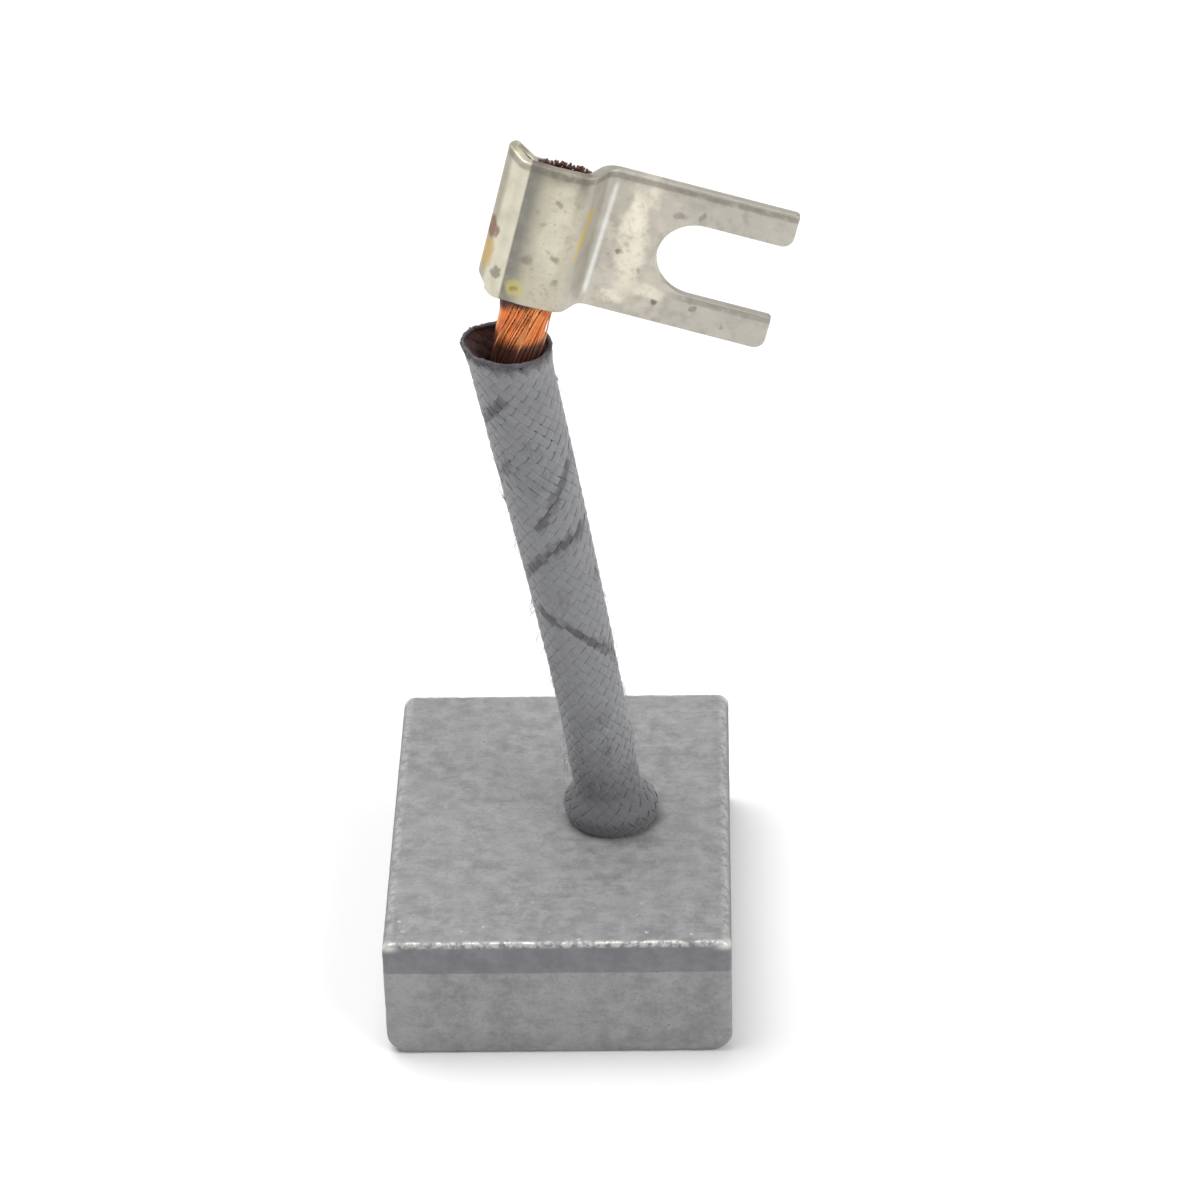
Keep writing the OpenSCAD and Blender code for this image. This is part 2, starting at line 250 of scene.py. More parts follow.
class Look:
    """A material whose nodes are made by calls that return sockets."""

    def __init__(self, name):
        self.material = bpy.data.materials.new(name)
        self.material.use_nodes = True
        self.tree = self.material.node_tree

    def put(self, socket, value):
        if isinstance(value, bpy.types.NodeSocket):
            self.tree.links.new(value, socket)
        else:
            socket.default_value = value

    def shader(self, name, value):
        self.put(self.tree.nodes["Principled BSDF"].inputs[name], value)

    def node(self, kind, settings=None, **inputs):
        node = self.tree.nodes.new("ShaderNode" + kind)
        for key, value in (settings or {}).items():
            setattr(node, key, value)
        for key, value in inputs.items():
            self.put(node.inputs[key.replace("_", " ")], value)
        return node

    def mm(self, stretch=(1, 1, 1)):
        """Object coordinates in mm, stretched."""
        place = self.node("TexCoord").outputs["Object"]
        scale = tuple(s / MM for s in stretch)
        return self.node("Mapping", Vector=place, Scale=scale).outputs[0]

    def local(self, foot, turn):
        """Coordinates in mm in a frame of its own."""
        place = self.node("TexCoord").outputs["Object"]
        return self.node(
            "Mapping", {"vector_type": "TEXTURE"},
            Vector=place, Location=tuple(foot * MM), Rotation=turn, Scale=(MM,) * 3,
        ).outputs[0]

    def part(self, vector, axis):
        return self.node("SeparateXYZ", Vector=vector).outputs[axis]

    def stretched(self, vector, scale):
        return self.node("Mapping", Vector=vector, Scale=scale).outputs[0]

    def noise(self, vector, size, detail=3.0, roughness=0.55, distortion=0.0):
        """Noise from 0 to 1 with features about size mm across."""
        return self.node(
            "TexNoise", Vector=vector, Scale=1 / size, Detail=detail,
            Roughness=roughness, Distortion=distortion,
        ).outputs[0]

    def cells(self, vector, size):
        """The distance from the nearest of scattered points, about size mm apart."""
        return self.node("TexVoronoi", Vector=vector, Scale=1 / size).outputs["Distance"]

    def calc(self, kind, a, b=0.0):
        node = self.node("Math", {"operation": kind})
        self.put(node.inputs[0], a)
        self.put(node.inputs[1], b)
        return node.outputs[0]

    def step(self, value, low, high, to_low=0.0, to_high=1.0):
        """Rises smoothly from to_low to to_high as value goes from low to high."""
        node = self.node("MapRange", {"interpolation_type": "SMOOTHSTEP"}, Value=value)
        for key, number in (("From Min", low), ("From Max", high), ("To Min", to_low), ("To Max", to_high)):
            self.put(node.inputs[key], number)
        return node.outputs[0]

    def both(self, *masks):
        """Where all of the masks are."""
        out = masks[0]
        for mask in masks[1:]:
            out = self.calc("MULTIPLY", out, mask)
        return out

    def most(self, *masks):
        """Where any of the masks is."""
        out = masks[0]
        for mask in masks[1:]:
            out = self.calc("MAXIMUM", out, mask)
        return out

    def mix(self, share, a, b):
        """Colour a, with a share of colour b from 0 to 1. Plain colours are sRGB from 0 to 255."""
        node = self.tree.nodes.new("ShaderNodeMix")
        node.data_type = "RGBA"
        for index, value in ((0, share), (6, a), (7, b)):
            self.put(node.inputs[index], colour(value) if isinstance(value, tuple) else value)
        return node.outputs[2]

    def spot(self, vector, place, radius, soft=0.5):
        """1 within radius of a place and 0 outside, with a soft rim. None leaves out an axis."""
        parts = [self.part(vector, i) for i in range(3)]
        total = None
        for value, at, size in zip(parts, place, radius):
            if at is None:
                continue
            off = self.calc("DIVIDE", self.calc("SUBTRACT", value, at), size)
            square = self.calc("MULTIPLY", off, off)
            total = square if total is None else self.calc("ADD", total, square)
        return self.step(total, 1 - soft, 1 + soft, 1.0, 0.0)

    def line(self, vector, start, end, half, soft):
        """1 along a line in X and Z, up to half its width away, with soft rims."""
        (x0, z0), (x1, z1) = start, end
        length = math.hypot(x1 - x0, z1 - z0)
        dx, dz = (x1 - x0) / length, (z1 - z0) / length
        x = self.calc("SUBTRACT", self.part(vector, 0), x0)
        z = self.calc("SUBTRACT", self.part(vector, 2), z0)
        along = self.calc("ADD", self.calc("MULTIPLY", x, dx), self.calc("MULTIPLY", z, dz))
        aside = self.calc("SUBTRACT", self.calc("MULTIPLY", x, dz), self.calc("MULTIPLY", z, dx))
        across = self.step(self.calc("ABSOLUTE", aside), half + soft, max(half - soft, 0))
        begun = self.step(along, -soft, 3 * soft)
        not_over = self.step(along, length + soft, length - 3 * soft)
        return self.both(across, begun, not_over)

    def wander(self, vector, size, reach):
        """A vector moved about by noise, by up to reach mm, so that spots drawn with it are ragged."""
        noise = self.node("TexNoise", Vector=vector, Scale=1 / size, Detail=3.0).outputs["Color"]
        off = self.node("VectorMath", {"operation": "MULTIPLY_ADD"})
        for socket, value in zip(off.inputs, (noise, (2 * reach,) * 3, (-reach,) * 3)):
            self.put(socket, value)
        total = self.node("VectorMath", {"operation": "ADD"})
        self.put(total.inputs[0], vector)
        self.put(total.inputs[1], off.outputs[0])
        return total.outputs[0]

    def attribute(self, name):
        return self.node("Attribute", {"attribute_name": name}).outputs["Fac"]

    def bump(self, *heights):
        """Bumps from pairs of a height and its size in mm, one upon the other."""
        normal = None
        for height, size in heights:
            node = self.node("Bump", Height=height, Distance=size * MM, Strength=1.0)
            if normal is not None:
                self.put(node.inputs["Normal"], normal)
            normal = node.outputs[0]
        self.shader("Normal", normal)


def colour(rgb):
    """A colour given in sRGB from 0 to 255, as the linear RGBA that nodes take."""
    if len(rgb) == 4:
        return rgb
    linear = [(v / 255 / 12.92) if v <= 10 else ((v / 255 + 0.055) / 1.055) ** 2.4 for v in rgb]
    return (*linear, 1)


# ------------------------------------------------------------------ the lead

HIDDEN_SPANS, HIDDEN_STEPS, SHOWN_STEPS = 15, 3, 8
# Layers of wire: how many, radius, inset from the lead's outside, lay (negative turns back) and seed
WIRE_LAYERS = ((62, 0.085, 0.085, 31, 5), (54, 0.085, 0.235, -24, 400))
# Wires that have sprung out: lowest and highest point, turn, how far out, and radius
STRAY_WIRES = (
    (36.5, 43.6, -1.72, 0.55, 0.06), (37.0, 43.0, -2.6, 0.5, 0.05),
    (38.2, 43.4, -0.7, 0.4, 0.055), (37.4, 42.6, 1.4, 0.5, 0.05),
)
WIRE_SIDES, CORE_SIDES = 5, 16
CORE_INSET, CORE_SHORT = 0.3, 0.35


def lead_rings():
    """Rows of x, y, z, half width and half depth along the lead, in the lead's frame."""
    rows = [(x, y, z, LEAD_R, LEAD_R * (1 - max(0, z - 40) / 7)) for x, y, z in LEAD_ROUTE]
    for share in (0, 0.25, 0.5, 0.75, 1):
        rows.append((*from_terminal(0.3 * share, 0, SQUEEZED_L * share), CRIMP_W / 2, CRIMP_T / 2))
    return np.array(rows)


def lead_line():
    """The lead's rings, close together where it shows."""
    rings = lead_rings()
    steps = [HIDDEN_STEPS] * HIDDEN_SPANS + [SHOWN_STEPS] * (len(rings) - 1 - HIDDEN_SPANS)
    line = smooth_line(rings, steps)
    along = unit(np.gradient(line[:, :3], axis=0))
    across = unit(np.cross(np.array([0, 1.0, 0]), along))
    return line, along, across, np.cross(along, across)


def strand_layer(line, across, depth, count, wire, inset, lay, seed):
    """Centrelines of a layer of wires that lie round the lead, twisted with a lay in mm."""
    chance = np.random.default_rng(seed)
    run = np.concatenate([[0], np.cumsum(np.linalg.norm(np.diff(line[:, :3], axis=0), axis=1))])
    start = TURN * (np.arange(count) + chance.uniform(-0.22, 0.22, count)) / count
    sag = chance.uniform(0, 0.45, count) * wire
    lines = []
    for k in range(count):
        wander = 0.05 * lumps_1d(run, 4.0, seed + k)
        a = start[k] + TURN * run / lay + wander
        inside = inset + sag[k] + 0.4 * wire * np.abs(lumps_1d(run, 2.2, seed + 97 + k))
        w, d = line[:, 3] - inside, line[:, 4] - inside * line[:, 4] / line[:, 3]
        lines.append(line[:, :3] + across * (w * np.cos(a))[:, None] + depth * (d * np.sin(a))[:, None])
    return np.array(lines)


def lead_core(line, along, across, depth):
    """The closed tube inside the wires, a little short of their cut ends."""
    a = TURN * np.arange(CORE_SIDES) / CORE_SIDES
    wide = across[:, None] * ((line[:, 3:4] - CORE_INSET) * np.cos(a))[..., None]
    deep = depth[:, None] * ((line[:, 4:5] - CORE_INSET) * np.sin(a))[..., None]
    centres = line[:, :3].copy()
    centres[-1] -= along[-1] * CORE_SHORT
    return tubes(centres[None], (wide + deep)[None], CORE_SIDES)


def add_lead():
    line, along, across, depth = lead_line()
    points, faces, tint = [], [], []

    def add(tube, shades):
        """Takes in a tube's points and faces, with a shade for each point."""
        base = sum(len(p) for p in points)
        points.append(tube[0])
        faces.extend([base + i for i in face] for face in tube[1])
        tint.append(np.broadcast_to(shades, len(tube[0])))

    add(lead_core(line, along, across, depth), 0.5)
    for count, wire, inset, lay, seed in WIRE_LAYERS:
        centres = strand_layer(line, across, depth, count, wire, inset, lay, seed)
        ends = np.random.default_rng(seed + 1).uniform(-0.28, 0.12, count)
        centres[:, -1] += along[-1] * ends[:, None]
        shades = hashed(np.arange(count)[:, None] + np.array([[0, 3, 9]]), 11)
        add(round_tubes(centres, wire, WIRE_SIDES), np.repeat(shades, len(line) * WIRE_SIDES))
    for centres, wire in stray_wires(line, across, depth):
        add(round_tubes(centres[None], wire, WIRE_SIDES), 0.9)
    piece = mesh_object("copper_strands", np.vstack(points) + LEAD_EXIT, faces)
    give(piece, "tint", np.concatenate(tint))
    piece.data.materials.append(copper_look())
    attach(piece, "root")
    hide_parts("copper_lead")
    return piece


def stray_wires(line, across, depth):
    """A few wires that have sprung out of the lead between the sleeve and the terminal."""
    heights = line[:, 2]
    for low, high, turn, out, wire in STRAY_WIRES:
        span = (heights > low) & (heights < high)
        s = (heights[span] - low) / (high - low)
        a = turn + 0.9 * (s - 0.4)
        grow = 1 + out / LEAD_R * np.sin(math.pi * s) ** 1.2 - 0.06
        x = line[span, 3] * grow * np.cos(a)
        y = line[span, 4] * grow * np.sin(a)
        yield line[span, :3] + across[span] * x[:, None] + depth[span] * y[:, None], wire


def copper_look():
    look = Look("copper_strands")
    place = look.mm()
    height = look.part(place, 2)
    tint = look.attribute("tint")
    tarnish = look.noise(place, 0.9, 3)
    base = look.mix(look.step(tint, 0, 1), (238, 132, 74), (255, 178, 116))
    base = look.mix(look.step(tarnish, 0.45, 0.75, 0.0, 0.55), base, (140, 66, 58))
    # near the barrel the wires are dark with flux and with painted shade under the barrel, inside the
    # sleeve's mouth with painted shade, and their cut ends with both
    flux_and_barrel_shade = look.step(look.calc("ADD", height, look.calc("MULTIPLY", tarnish, 1.2)), 53.2, 54.0)
    mouth_shade = look.step(look.calc("ADD", height, look.calc("MULTIPLY", tarnish, 0.8)), 50.5, 51.1, 1.0, 0.0)
    # dark flux with painted shade under the barrel, then painted shade inside the mouth
    base = look.mix(look.calc("MULTIPLY", flux_and_barrel_shade, 0.92), base, (70, 50, 56))
    base = look.mix(look.calc("MULTIPLY", mouth_shade, 0.9), base, (96, 62, 60))
    look.shader("Base Color", base)
    look.shader("Metallic", look.step(look.most(flux_and_barrel_shade, mouth_shade), 0, 1, 0.9, 0.35))
    look.shader("Roughness", look.step(tarnish, 0.3, 0.8, 0.28, 0.5))
    look.bump((look.noise(look.mm((3, 3, 0.4)), 0.12, 2), 0.01))
    return look.material


# ------------------------------------------------------------------ the sleeve

YARNS = 18
YARN_ROW = SLEEVE_L / 80
BAND_R = 2.6  # the radius at which a band's turn becomes a length
# Dark slanting bands on the sleeve: (height, turn from +X in degrees) at the two ends, width in mm and
# strength
DARK_BANDS = [
    ((36.9, -104), (33.6, -178), 1.5, 0.85),
    ((31.6, -124), (29.0, -178), 1.1, 0.7),
    ((31.3, -24), (26.4, -103), 1.25, 0.8),
    ((26.1, -14), (24.8, -82), 1.45, 0.85),
    ((24.8, -82), (22.0, -150), 1.45, 0.85),
    ((19.2, -142), (17.7, -84), 1.2, 0.85),
    ((17.7, -84), (14.0, 4), 1.3, 0.85),
]


def sleeve_radius(h):
    """The outside radius at height h: a bunched foot, a slow swell upwards and a flared mouth."""
    tucked = 1 - (FOOT_MIDDLE - h) / FOOT_TUCK
    foot = ease(np.where(h < FOOT_MIDDLE, tucked, (FOOT_HEIGHT - h) / (FOOT_HEIGHT - FOOT_MIDDLE)))
    swell = ease((h - SWELL_START) / (SLEEVE_L - SWELL_START))
    mouth = np.maximum(0, h - SLEEVE_L + MOUTH_HEIGHT) / MOUTH_HEIGHT
    return SLEEVE_R + FOOT_BULGE * foot + UPPER_SWELL * swell + MOUTH_FLARE * mouth**2


def sleeve_point(h, a, inset):
    """Points at height h and turn a, inset from the sleeve's outside, in the lead's frame."""
    top = ease((h - SLEEVE_L + MOUTH_HEIGHT) / MOUTH_HEIGHT)
    bow = SLEEVE_BOW * np.sin(math.pi * np.clip(h / SLEEVE_L, 0, 1) ** 0.75)
    middle = bow - h * math.tan(SLEEVE_LEAN)
    r = sleeve_radius(h) - inset
    lift = MOUTH_LIFT * np.cos(a) ** 2 - MOUTH_TILT * np.cos(a)
    return np.stack([r * np.cos(a) + middle, r * np.sin(a), h + top * lift], -1)


def in_dark_bands(h, a):
    """How dark the sleeve is at height h and turn a in its slanting bands, from 0 to 1."""
    a = np.degrees((a + math.pi / 2) % TURN - math.pi / 2)
    a = np.where(a > 90, a - 360, a)
    degree = math.radians(1) * BAND_R
    total = np.zeros(np.broadcast(h, a).shape)
    for (h0, a0), (h1, a1), width, depth in DARK_BANDS:
        dx, dy = (a1 - a0) * degree, h1 - h0
        length = math.hypot(dx, dy)
        x, y = (a - a0) * degree, h - h0
        along = (x * dx + y * dy) / length
        aside = np.abs(x * dy - y * dx) / length
        ragged = 0.25 * lumps(np.stack([x * 0 + h0, along + x * 0, aside * 0], -1), 1.1, 31)
        band = np.exp(-2.2 * (aside / (width / 2 + ragged)) ** 2)
        band = band * ease((along + 0.7) / 1.0) * ease((length - along + 0.7) / 1.0)
        total = np.maximum(total, depth * band)
    return total


def openness(h, a):
    """How far the yarns stand apart at a place: most at the front, below the mouth."""
    place = np.stack([3 * np.cos(a), 3 * np.sin(a), h + 0 * a], -1)
    front = ease((np.cos(a + math.pi / 2 - 0.12) - 0.35) / 0.7)
    zone = ease((h - 26) / 5) * ease((SLEEVE_L - 1.2 - h) / 1.5)
    return np.clip(0.7 * front * zone + (0.1 + 0.4 * zone) * lumps(place, 1.2, 61), 0, 1)


def yarn_set(way, seed):
    """Yarns that run round the sleeve one way: points, faces and numbers for their material."""
    per_row, sides = 5, 8
    rows = round(SLEEVE_L / YARN_ROW)
    h = np.linspace(0, SLEEVE_L, rows * per_row + 1)
    k = np.arange(YARNS)[:, None]
    slow = np.stack([lumps_1d(h, 3.1, seed + j) for j in range(YARNS)])
    quick = np.stack([lumps_1d(h, 1.1, seed + 40 + j) for j in range(YARNS)])
    drift = 0.06 * slow + 0.03 * quick
    a = TURN * (k + 0.5) / YARNS + way * math.pi / YARNS * h / YARN_ROW + drift / SLEEVE_R
    hh = np.broadcast_to(h, a.shape)
    rise = 0.035 * way * np.cos(math.pi * hh / YARN_ROW)
    banding = in_dark_bands(hh, a)
    inset = 0.085 - rise + 0.05 * banding + 0.03 * lumps_1d(h, 2.3, seed + 77)
    frayed = np.random.default_rng(seed).uniform(-0.4, -0.15, YARNS)[:, None] * ease((hh - SLEEVE_L + 2) / 2)
    centre = sleeve_point(hh + frayed, a, inset)
    along = unit(np.gradient(centre, axis=1))
    e = 0.01
    up = unit(sleeve_point(hh + e, a, inset) - sleeve_point(hh - e, a, inset))
    round_ = unit(sleeve_point(hh, a + e, inset) - sleeve_point(hh, a - e, inset))
    out = unit(np.cross(round_, up))
    across = unit(np.cross(out, along))
    spacing = TURN * sleeve_radius(hh) / YARNS * math.sqrt(0.5)
    width = 0.5 * spacing * (1.05 - 0.27 * openness(hh, a)) * (1 + 0.03 * lumps_1d(h, 1.7, seed + 150))
    thick = 0.045
    t = TURN * np.arange(sides) / sides
    c, s = np.cos(t), np.sin(t)
    flat = np.sign(c) * np.abs(c) ** 0.75
    domed = thick * s * np.abs(s) ** 0.5
    offsets = across[:, :, None] * (width[..., None] * flat)[..., None] + out[:, :, None] * domed[:, None]
    points, faces = tubes(centre, offsets, sides)

    def each(v):
        return np.repeat(np.broadcast_to(v, a.shape).ravel(), sides)

    numbers = {
        "dark_band": each(banding),
        "run": each(hh / math.cos(math.radians(41))),
        "side": np.tile(flat, a.size),
        "yarn": each(hashed(k + np.array([0, 5, 2]), seed)[:, None]),
        "high": each(hh),
        "inner": np.tile(np.clip(-s, 0, 1), a.size),
    }
    return points, faces, numbers


def add_sleeve():
    look = sleeve_look()
    pieces = []
    for name, way, seed in (("sleeve_yarns_right", 1, 210), ("sleeve_yarns_left", -1, 520)):
        points, faces, numbers = yarn_set(way, seed)
        piece = mesh_object(name, points + LEAD_EXIT, faces)
        for key, values in numbers.items():
            give(piece, key, values)
        pieces.append(piece)
    for name, shape, looks in (("sleeve_rim", rim(), rim_look()), ("sleeve_fuzz", fuzz(), fuzz_look())):
        points, faces = shape
        pieces.append(mesh_object(name, points + LEAD_EXIT, faces))
        pieces[-1].data.materials.append(looks)
    for piece in pieces[:2]:
        piece.data.materials.append(look)
    for piece in pieces:
        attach(piece, "root")
    for piece in pieces[:2]:
        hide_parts("glass_sleeve")
    return pieces


def rim():
    """The mouth's edge, where the cut yarns are matted together with dirt."""
    rings, sides = 180, 10
    a = TURN * np.arange(rings + 1) / rings
    place = np.stack([3 * np.cos(a), 3 * np.sin(a), a * 0], -1)
    wave = lumps(place, 1.1, 5)
    h = SLEEVE_L - 0.12 + 0.1 * wave + 0.05 * lumps(place, 0.4, 6)
    centre = sleeve_point(h, a, 0.2 + 0.04 * lumps(place, 0.7, 7))
    radii = 0.17 + 0.035 * lumps(place, 0.5, 8) + 0.02 * lumps(place, 0.2, 9)
    t = TURN * np.arange(sides) / sides
    out = np.stack([np.cos(a), np.sin(a), 0 * a], -1)[:, None]
    offsets = radii[:, None, None] * (out * np.cos(t)[:, None] + np.array([0, 0, 1.35]) * np.sin(t)[:, None])
    points, faces = tubes(centre[None], offsets[None], sides)
    return points, [face for face in faces if len(face) == 4]


def fuzz():
    """Broken glass filaments that stand off the sleeve in tufts, most of them along it."""
    chance = np.random.default_rng(77)
    tufts, each, rings = 64, 9, 6
    h = np.repeat(chance.uniform(2.5, SLEEVE_L - 2, tufts), each) + chance.normal(0, 0.35, tufts * each)
    a = np.repeat(chance.uniform(0, TURN, tufts), each) + chance.normal(0, 0.12, tufts * each)
    count = len(h)
    root = sleeve_point(np.clip(h, 0.5, SLEEVE_L - 1), a, 0.06)
    out = np.stack([np.cos(a), np.sin(a), 0.15 + 0 * a], -1)
    side = chance.normal(0, 0.45, count)
    lie = np.stack([-np.sin(a) * side, np.cos(a) * side, np.repeat(chance.choice([-1, 1], tufts), each)], -1)
    length = chance.uniform(0.6, 1.9, count)
    lift = chance.uniform(0.1, 0.5, count)
    t = np.linspace(0, 1, rings)
    lines = root[:, None] + (length[:, None] * t)[..., None] * unit(lie)[:, None] \
        + (lift[:, None] * np.sin(t * 2.4))[..., None] * unit(out)[:, None]
    return round_tubes(lines, 0.014 * (1 - 0.5 * t)[None], 3)


def sleeve_look():
    look = Look("glass_braid")
    place = look.mm()
    run, side, yarn = look.attribute("run"), look.attribute("side"), look.attribute("yarn")
    dark_band, high = look.attribute("dark_band"), look.attribute("high")
    lie = look.node(
        "CombineXYZ", X=look.calc("MULTIPLY", side, 6.0),
        Y=look.calc("MULTIPLY", run, 0.5), Z=look.calc("MULTIPLY", yarn, 37.0),
    ).outputs[0]
    filaments = look.noise(lie, 1.0, 4, 0.6)
    mottle = look.noise(place, 1.7, 3)
    fine = look.noise(place, 0.3, 3)
    base = look.mix(look.step(filaments, 0.3, 0.7), (124, 125, 129), (144, 145, 148))
    base = look.mix(look.step(yarn, 0, 1, 0.0, 0.2), base, (122, 121, 128))
    base = look.mix(look.step(mottle, 0.4, 0.75, 0.0, 0.3), base, (118, 119, 118))
    base = look.mix(look.step(fine, 0.62, 0.8, 0.0, 0.3), base, (104, 98, 102))
    # darker in the slanting bands
    base = look.mix(look.calc("MULTIPLY", look.step(dark_band, 0.1, 0.9), 0.8), base, (62, 62, 66))
    # darker towards the foot: painted shade where it meets the block, partly the bunched foot's own darker
    # tone
    foot = look.step(high, 0.2, 9.0, 0.8, 0.0)
    base = look.mix(foot, base, (86, 84, 88))
    edge = look.step(look.calc("ADD", high, look.calc("MULTIPLY", mottle, 0.8)), 39.6, 40.2, 0.0, 0.8)
    base = look.mix(edge, base, (74, 70, 74))
    # inner faces near the mouth: a painted reflection of the copper, brownish
    inside = look.both(look.step(look.attribute("inner"), 0.1, 0.5), look.step(high, 28.0, 34.0))
    copper_reflection = look.mix(look.step(fine, 0.35, 0.65), (92, 64, 62), (112, 90, 86))
    base = look.mix(inside, base, copper_reflection)
    look.shader("Base Color", base)
    look.shader("Roughness", look.step(filaments, 0.3, 0.7, 0.5, 0.72))
    look.shader("Specular IOR Level", 0.35)
    look.shader("Sheen Weight", 0.3)
    look.shader("Sheen Roughness", 0.5)
    look.bump((filaments, 0.03), (look.noise(place, 0.25, 2), 0.01))
    return look.material


def rim_look():
    look = Look("matted_braid")
    place = look.mm()
    grime = look.noise(place, 0.5, 3)
    base = look.mix(look.step(grime, 0.35, 0.7), (66, 64, 69), (98, 96, 100))
    look.shader("Base Color", base)
    look.shader("Roughness", look.step(grime, 0.3, 0.7, 0.6, 0.8))
    look.bump((look.noise(place, 0.18, 3), 0.04))
    return look.material


def fuzz_look():
    look = Look("glass_filament")
    look.shader("Base Color", look.mix(look.noise(look.mm(), 2.0), (138, 139, 141), (158, 159, 161)))
    look.shader("Roughness", 0.5)
    look.shader("Alpha", 0.6)
    return look.material


# ------------------------------------------------------------------ the terminal

PRESSED_EDGE_R = 0.11


def add_terminal():
    """The folded strip, from the CAD node's own shape with its edges rounded as a press leaves them."""
    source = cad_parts["fork_terminal"]
    shape = bmesh.new()
    shape.from_mesh(source.data)
    shape.transform(Matrix.Scale(1 / MM, 4))
    bmesh.ops.remove_doubles(shape, verts=shape.verts, dist=0.002)
    bmesh.ops.dissolve_limit(shape, angle_limit=math.radians(1.5), verts=shape.verts, edges=shape.edges)
    crisp = [e for e in shape.edges if len(e.link_faces) == 2 and e.calc_face_angle() > math.radians(35)]
    bmesh.ops.bevel(
        shape, geom=crisp, offset=PRESSED_EDGE_R, offset_type="OFFSET", segments=3, profile=0.5,
        affect="EDGES", clamp_overlap=False,
    )
    bmesh.ops.recalc_face_normals(shape, faces=shape.faces)
    bmesh.ops.triangulate(shape, faces=[f for f in shape.faces if len(f.verts) > 4])
    shape.transform(Matrix.Scale(MM, 4))
    mesh = bpy.data.meshes.new("fork_terminal_pressed")
    shape.to_mesh(mesh)
    shape.free()
    mesh.shade_smooth()
    mesh.set_sharp_from_angle(angle=math.radians(40))
    piece = bpy.data.objects.new("fork_terminal_pressed", mesh)
    bpy.context.collection.objects.link(piece)
    piece.modifiers.new("flat_faces", "WEIGHTED_NORMAL").keep_sharp = True
    piece.data.materials.append(terminal_look())
    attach(piece, "root")
    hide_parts("fork_terminal")
    return piece


# Runs of thick tin on the plate: x, z and half size each way
TIN_RUNS = (
    (5.7, 8.8, 0.55, 0.8), (6.1, 7.2, 0.5, 0.6), (6.3, 5.6, 0.5, 0.7),
    (7.9, 2.2, 1.0, 0.55), (5.5, 1.2, 0.8, 0.5),
)
# Dark specks on the terminal: x, z, radius and strength
SPECKS = (
    (8.35, 1.55, 0.2, 0.8), (5.16, 4.77, 0.22, 0.6), (11.1, 1.8, 0.2, 0.5), (8.6, 8.5, 0.3, 0.4),
    (0.5, 8.35, 0.25, 0.45), (1.15, 4.15, 0.28, 0.55), (-0.75, 3.75, 0.4, 0.45), (10.2, 8.9, 0.2, 0.4),
    (13.4, 1.0, 0.22, 0.35), (6.9, 3.6, 0.18, 0.35), (1.5, 2.2, 0.22, 0.4), (-0.2, 6.6, 0.25, 0.3),
)


